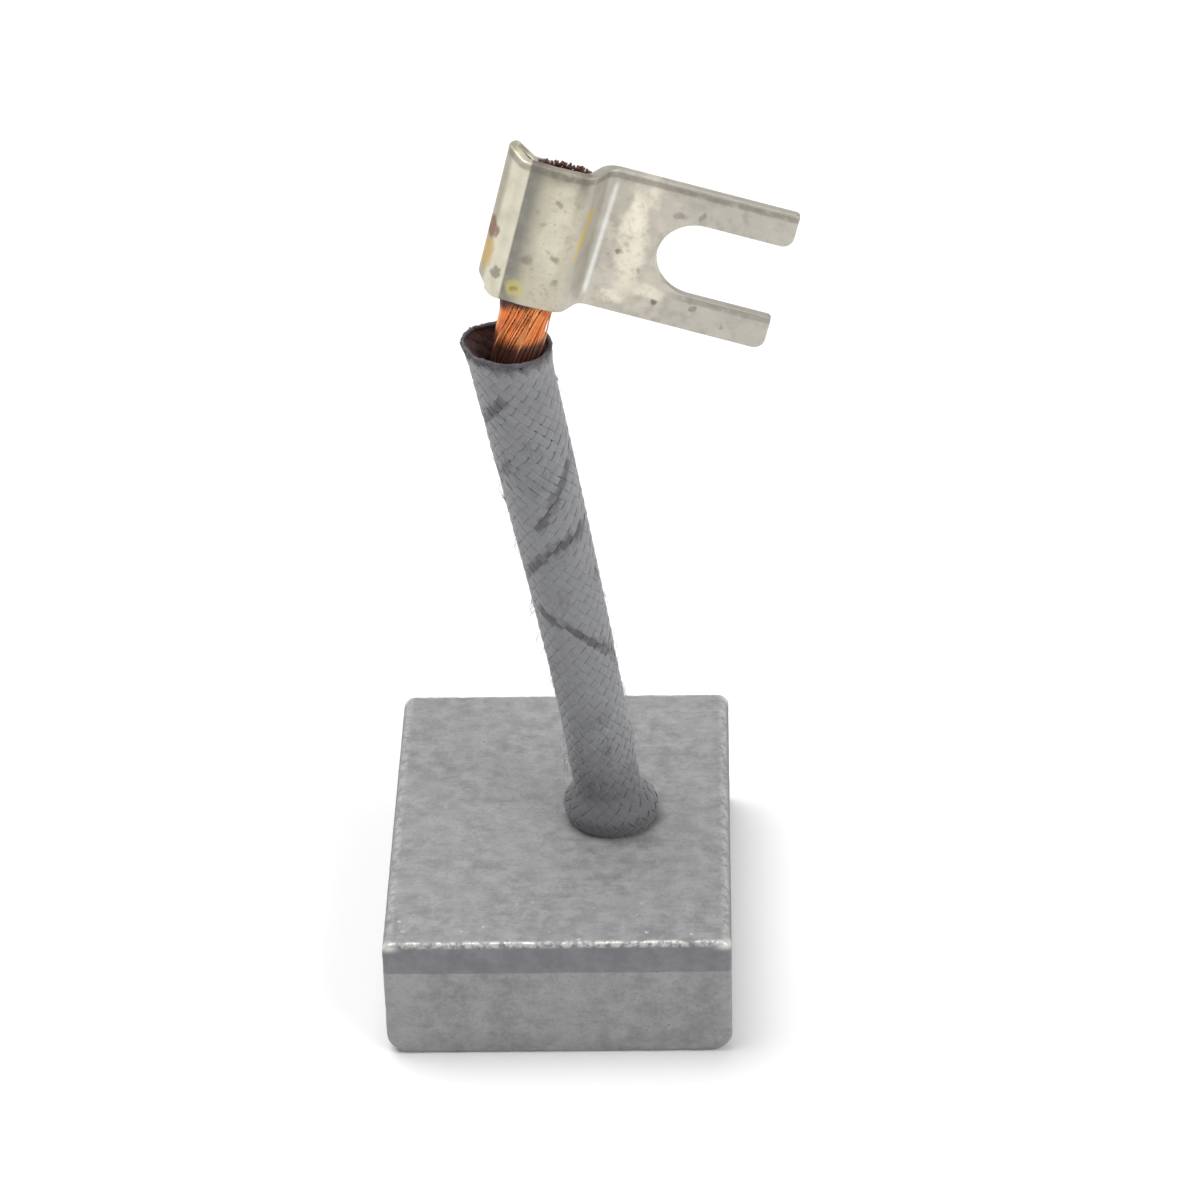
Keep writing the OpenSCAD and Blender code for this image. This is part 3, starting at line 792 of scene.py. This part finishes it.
def terminal_look():
    """Dull tin over brass. Places are in the terminal's own frame: x along the fork, z across the strip."""
    look = Look("tinned_brass")
    at = look.local(LEAD_EXIT + TERMINAL_FOOT, (0, TERMINAL_LEAN, TERMINAL_YAW))
    x, y, z = (look.part(at, i) for i in range(3))
    loose = look.wander(at, 0.9, 0.55)
    cloud = look.noise(at, 2.4, 4, 0.6, 0.4)
    mottle = look.noise(at, 0.7, 4, 0.65)
    fine = look.noise(at, 0.25, 3, 0.6)
    patches = look.noise(at, 1.4, 3, 0.6)
    grain = look.noise(look.stretched(at, (0.4, 1, 1.6)), 0.22, 3)
    base = look.mix(look.step(cloud, 0.35, 0.66), (188, 183, 171), (206, 200, 186))
    base = look.mix(look.step(patches, 0.5, 0.72, 0.0, 0.5), base, (206, 192, 182))

    def paint(mask, strength, rgb):
        nonlocal base
        base = look.mix(look.calc("MULTIPLY", mask, strength), base, rgb)

    plate = look.step(x, 3.0, 4.2)
    web = look.both(look.step(y, -0.5, -0.9), look.step(x, -2.05, -1.9), look.step(x, 2.6, 2.0))
    wing = look.step(x, -1.9, -2.1)
    # thick, creamy tin down the plate, and duller tin along the fork's arms
    run = look.spot(loose, (6.1, None, 6.4), (1.1, 1, 4.6), 0.7)
    paint(look.both(run, plate, look.step(patches, 0.36, 0.56)), 0.8, (246, 238, 218))
    for px, pz, rx, rz in TIN_RUNS:
        paint(look.spot(loose, (px, None, pz), (rx, 1, rz), 0.8), 0.55, (250, 243, 224))
    paint(look.both(look.step(x, 7.5, 10.5), plate), 0.6, (186, 183, 174))
    paint(look.both(plate, look.step(mottle, 0.48, 0.75)), 0.45, (158, 155, 146))
    # the barrel's front: painted shade beside the crease, and a painted highlight along its belly
    paint(web, 0.75, (196, 190, 168))
    belly_highlight = look.spot(loose, (0.75, None, 6.4), (0.9, 1, 4.6), 0.8)
    paint(look.both(web, belly_highlight, look.step(patches, 0.3, 0.6)), 0.7, (226, 221, 199))
    crease_shade = look.both(web, look.step(look.calc("ADD", x, look.calc("MULTIPLY", mottle, 0.9)), 0.15, -1.2))
    paint(look.both(crease_shade, look.step(patches, 0.2, 0.55, 0.65, 1.0)), 0.85, (122, 120, 116))
    paint(look.both(web, look.step(mottle, 0.5, 0.74)), 0.5, (140, 136, 122))
    # painted shade under the web's rounded top edge
    top = look.both(web, look.step(z, 9.2, 10.4))
    paint(look.both(top, look.step(mottle, 0.2, 0.6, 0.4, 1.0)), 0.6, (132, 128, 116))
    # painted shade on the web's right, where it bends towards the neck
    paint(look.both(web, look.step(x, 1.2, 2.1), look.step(z, 7.0, 9.6)), 0.45, (120, 116, 104))
    # the wing: painted bright where it faces the light, painted shade along its outer fold where it turns
    # back, and bare brass where that fold is rubbed
    paint(wing, 0.8, look.mix(look.step(patches, 0.35, 0.62), (214, 208, 182), (232, 228, 206)))
    paint(look.both(wing, look.step(x, -3.15, -3.5)), 0.6, (150, 144, 126))
    paint(look.both(wing, look.spot(loose, (-3.55, None, 2.6), (0.45, 9, 1.3), 0.7)), 0.8, (206, 176, 108))
    paint(look.both(wing, look.spot(loose, (-3.6, None, 4.7), (0.4, 9, 0.8), 0.7)), 0.8, (138, 96, 76))
    paint(look.both(wing, look.spot(loose, (-2.65, None, 1.8), (0.3, 9, 0.42), 0.7)), 0.6, (96, 96, 88))
    # the neck in painted shade, its rubbed corner beside the barrel, and a painted highlight along the fold
    # beside the plate
    neck_shade = look.both(look.step(x, 1.9, 2.5), look.step(x, 3.9, 3.5))
    paint(neck_shade, 0.5, (170, 168, 158))
    rubbed = look.line(at, (2.78, 8.3), (2.38, 3.9), 0.1, 0.14)
    paint(look.both(rubbed, look.step(patches, 0.3, 0.5)), 0.9, (212, 184, 92))
    paint(look.line(at, (3.98, 10.0), (3.62, 0.8), 0.08, 0.2), 0.75, (238, 237, 234))
    # painted shade along the rounded edges where they were sheared, under the top edge and below the slot
    broken = look.step(mottle, 0.25, 0.5, 0.3, 1.0)
    under_edge_shade = look.both(look.step(z, 10.1, 10.35), look.step(z, 10.72, 10.6), broken)
    paint(look.both(under_edge_shade, look.step(y, 1.4, 1.2)), 0.55, (112, 108, 98))
    slot_edge_shade = look.both(look.step(z, 2.0, 2.25), look.step(z, 2.6, 2.5), look.step(x, 9.4, 10.4))
    paint(look.both(slot_edge_shade, broken), 0.5, (128, 125, 116))
    # stains and specks
    stain = look.spot(loose, (-1.05, None, 1.05), (0.62, 1, 0.6), 0.7)
    paint(look.both(stain, web), 0.75, (204, 192, 118))
    paint(look.both(look.spot(loose, (-1.0, None, 1.05), (0.26, 1, 0.24), 0.8), web), 0.6, (134, 122, 78))
    for px, pz, size, depth in SPECKS:
        paint(look.spot(loose, (px, None, pz), (size, 1, size), 0.9), depth, (98, 94, 88))
    paint(look.both(look.step(fine, 0.62, 0.78), look.step(mottle, 0.4, 0.6)), 0.4, (126, 122, 112))
    paint(look.step(fine, 0.3, 0.2), 0.3, (240, 238, 228))
    look.shader("Base Color", base)
    look.shader("Metallic", 0.72)
    look.shader("Roughness", look.step(mottle, 0.25, 0.8, 0.36, 0.58))
    look.bump((cloud, 0.05), (mottle, 0.035), (grain, 0.01))
    return look.material


# ------------------------------------------------------------------ the block

def block_outline(inset, cells_x, cells_z, arc):
    """The block's outline in X and Z, inset all round, with the same number of points at each inset."""
    half, top, low = BLOCK_W / 2 - inset, BLOCK_H - inset, inset
    rt, rb = max(TOP_EDGE_R - inset, 0), max(BOTTOM_EDGE_R - inset, 0)
    rows = []

    def line(a, b, n):
        rows.extend(np.array(a) + (np.array(b) - np.array(a)) * t for t in np.arange(n) / n)

    def bend(cx, cz, r, start):
        for t in np.arange(arc) / arc:
            turn = start + math.pi / 2 * t
            rows.append(np.array([cx + r * math.cos(turn), cz + r * math.sin(turn)]))

    line((half - rt, top), (-half + rt, top), cells_x)
    bend(-half + rt, top - rt, rt, math.pi / 2)
    line((-half, top - rt), (-half, low + rb), cells_z)
    bend(-half + rb, low + rb, rb, math.pi)
    line((-half + rb, low), (half - rb, low), cells_x)
    bend(half - rb, low + rb, rb, 1.5 * math.pi)
    line((half, low + rb), (half, top - rt), cells_z)
    bend(half - rt, top - rt, rt, 0)
    return np.array(rows)


def add_block():
    """The block as a net of small cells, which its wear moves, open for the lead's socket."""
    size = 0.26
    cells_x, cells_z, arc = round(BLOCK_W / size), round(BLOCK_H / size), 7
    half = BLOCK_L / 2
    round_turns = np.linspace(0, math.pi / 2, 6)
    ends = [(BLOCK_H / 2 - 0.001, -half)]
    ends += [(i, -half) for i in np.linspace(BLOCK_H / 2 - size, END_EDGE_R + size, 17)]
    ends += [(END_EDGE_R * (1 - math.sin(t)), -half + END_EDGE_R * (1 - math.cos(t))) for t in round_turns]
    body = [(0, y) for y in np.linspace(-half + END_EDGE_R, half - END_EDGE_R, round(BLOCK_L / size))[1:-1]]
    rings = ends + body + [(inset, -y) for inset, y in reversed(ends)]
    points = []
    for inset, y in rings:
        outline = block_outline(inset, cells_x, cells_z, arc)
        points.append(np.stack([outline[:, 0], np.full(len(outline), y), outline[:, 1]], -1))
    n = len(points[0])
    faces = []
    for r, i in itertools.product(range(len(rings) - 1), range(n)):
        j = (i + 1) % n
        faces.append((r * n + i, (r + 1) * n + i, (r + 1) * n + j, r * n + j))
    piece = mesh_object("block_pressed", np.vstack(points), faces)
    shape = bmesh.new()
    shape.from_mesh(piece.data)
    bmesh.ops.remove_doubles(shape, verts=shape.verts, dist=0.02 * MM)
    bmesh.ops.recalc_face_normals(shape, faces=shape.faces)
    shape.normal_update()
    wear_block(shape)
    shape.to_mesh(piece.data)
    shape.free()
    cut_socket(piece)
    piece.data.materials.append(block_look())
    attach(piece, "root")
    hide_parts("carbon_block")
    return piece


def wear_block(shape):
    """Presses the grain, the pits and the nicks along the edges into the block, and never outwards."""
    p = np.array([v.co for v in shape.verts]) / MM
    normal = np.array([v.normal for v in shape.verts])
    ex, ey = BLOCK_W / 2 - np.abs(p[:, 0]), BLOCK_L / 2 - np.abs(p[:, 1])
    ez = np.minimum(p[:, 2], BLOCK_H - p[:, 2])
    near = np.sort(np.stack([ex, ey, ez], -1), axis=-1)
    edge = np.hypot(near[:, 0], near[:, 1])
    corner = np.linalg.norm(near, axis=-1)
    depth = 0.012 * (1 + lumps(p, 1.1, 3)) + 0.008 * (1 + lumps(p, 0.45, 4))
    depth += 0.07 * ease((lumps(p, 0.8, 8) - 0.55) / 0.3) * ease((lumps(p, 4.0, 9) + 0.2) / 0.6)
    nick = ease((lumps(p * [1, 1, 1.6], 0.9, 12) - 0.1) / 0.6)
    depth += 0.06 * nick * ease(1 - edge / 0.7)
    depth += 0.08 * ease(1 - corner / 0.9) * (0.4 + 0.6 * nick)
    depth *= ease(p[:, 2] / 0.3) + 0.15
    for v, d, m in zip(shape.verts, depth, normal):
        v.co -= Vector(m * d * MM)


def cut_socket(piece):
    """Opens the lead's socket, as in the CAD block."""
    cutter = bmesh.new()
    bmesh.ops.create_cone(
        cutter, cap_ends=True, segments=64, radius1=SOCKET_R * MM, radius2=SOCKET_R * MM,
        depth=2 * SOCKET_DEPTH * MM,
    )
    mesh = bpy.data.meshes.new("socket")
    cutter.to_mesh(mesh)
    cutter.free()
    tool = bpy.data.objects.new("socket", mesh)
    tool.location = LEAD_EXIT * MM
    bpy.context.collection.objects.link(tool)
    change = piece.modifiers.new("socket", "BOOLEAN")
    change.operation, change.object, change.solver = "DIFFERENCE", tool, "EXACT"
    apply_modifiers(piece)
    bpy.data.objects.remove(tool)


def apply_modifiers(piece):
    bpy.context.view_layer.update()
    ready = bpy.data.meshes.new_from_object(piece.evaluated_get(bpy.context.evaluated_depsgraph_get()))
    old = piece.data
    piece.modifiers.clear()
    piece.data = ready
    bpy.data.meshes.remove(old)


def block_look():
    look = Look("metal_graphite")
    at = look.mm()
    x, y, z = (look.part(at, i) for i in range(3))
    facing = look.part(look.node("NewGeometry").outputs["Normal"], 2)
    upward = look.step(facing, 0.45, 0.75)
    ey = look.calc("SUBTRACT", BLOCK_L / 2, look.calc("ABSOLUTE", y))
    ex = look.calc("SUBTRACT", BLOCK_W / 2, look.calc("ABSOLUTE", x))
    ez = look.calc("SUBTRACT", BLOCK_H, z)
    cloud = look.noise(at, 5.0, 3, 0.6)
    mottle = look.noise(at, 1.4, 4, 0.65)
    streaks = look.noise(look.mm((0.45, 1.6, 1.2)), 0.7, 3)
    grain = look.noise(at, 0.22, 3, 0.7)
    base = look.mix(look.step(mottle, 0.3, 0.7), (126, 125, 126), (155, 154, 155))
    base = look.mix(look.step(cloud, 0.35, 0.65, 0.0, 0.4), base, (149, 150, 152))
    base = look.mix(look.step(streaks, 0.5, 0.75, 0.0, 0.35), base, (116, 114, 116))
    base = look.mix(look.step(grain, 0.55, 0.75, 0.0, 0.3), base, (174, 172, 172))
    base = look.mix(look.step(grain, 0.45, 0.3, 0.0, 0.35), base, (98, 96, 98))
    # the layer pressed on top, that holds the lead, shows as a darker band round the sides
    ragged = look.calc("SUBTRACT", look.noise(look.mm((1, 1, 0.3)), 1.3, 3), 0.5)
    ragged = look.calc("MULTIPLY", ragged, 0.22)
    band = look.step(look.calc("ADD", z, ragged), 7.13, 7.27)
    band = look.both(band, look.step(facing, 0.4, 0.65, 1.0, 0.0))
    dark = look.mix(look.step(mottle, 0.3, 0.7), (106, 106, 111), (122, 122, 126))
    base = look.mix(look.calc("MULTIPLY", band, 0.86), base, dark)
    # bare, bright metal along the worn edges and in specks near them
    scatter = look.noise(at, 0.5, 3, 0.65)
    near_end = look.both(look.step(ey, 0.55, 0.05), look.step(ez, 0.5, 0.1))
    near_side = look.both(look.step(ex, 0.95, 0.3), look.step(ez, 0.45, 0.05))
    rubbed = look.most(near_end, look.calc("MULTIPLY", near_side, 0.45))
    wear = look.both(rubbed, look.step(scatter, 0.38, 0.6))
    front = look.both(look.step(y, -8.0, -15.5), upward)
    dots = look.step(look.cells(at, 1.15), 0.09, 0.22, 1.0, 0.0)
    specks = look.both(front, dots, look.step(scatter, 0.5, 0.62))
    corner = look.both(look.step(look.calc("ADD", ex, ey), 1.5, 0.5), look.step(ez, 0.9, 0.2))
    bright = look.most(wear, look.calc("MULTIPLY", specks, 0.8), corner)
    base = look.mix(look.calc("MULTIPLY", bright, 0.85), base, (236, 232, 226))
    pits = look.both(look.step(look.cells(at, 0.75), 0.05, 0.14, 1.0, 0.0), look.step(mottle, 0.52, 0.66))
    base = look.mix(look.calc("MULTIPLY", pits, 0.5), base, (92, 90, 92))
    look.shader("Base Color", base)
    look.shader("Metallic", look.step(bright, 0, 1, 0.1, 0.6))
    dull = look.calc("SUBTRACT", mottle, look.calc("MULTIPLY", bright, 0.5))
    look.shader("Roughness", look.step(dull, 0.0, 0.8, 0.4, 0.66))
    look.bump((mottle, 0.05), (streaks, 0.03), (grain, 0.025), (pits, -0.04))
    return look.material


def powder_look():
    look = Look("contact_powder")
    at = look.mm()
    base = look.mix(look.noise(at, 0.3, 4, 0.7), (84, 78, 76), (142, 118, 104))
    look.shader("Base Color", base)
    look.shader("Metallic", 0.4)
    look.shader("Roughness", 0.6)
    look.bump((look.noise(at, 0.15, 3), 0.03))
    return look.material


# ------------------------------------------------------------------ the scene

add_camera()
strands = add_lead()
add_stage()
sleeve = add_sleeve()
terminal = add_terminal()
add_block()
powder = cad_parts["contact_powder"]
powder.data.materials.clear()
powder.data.materials.append(powder_look())
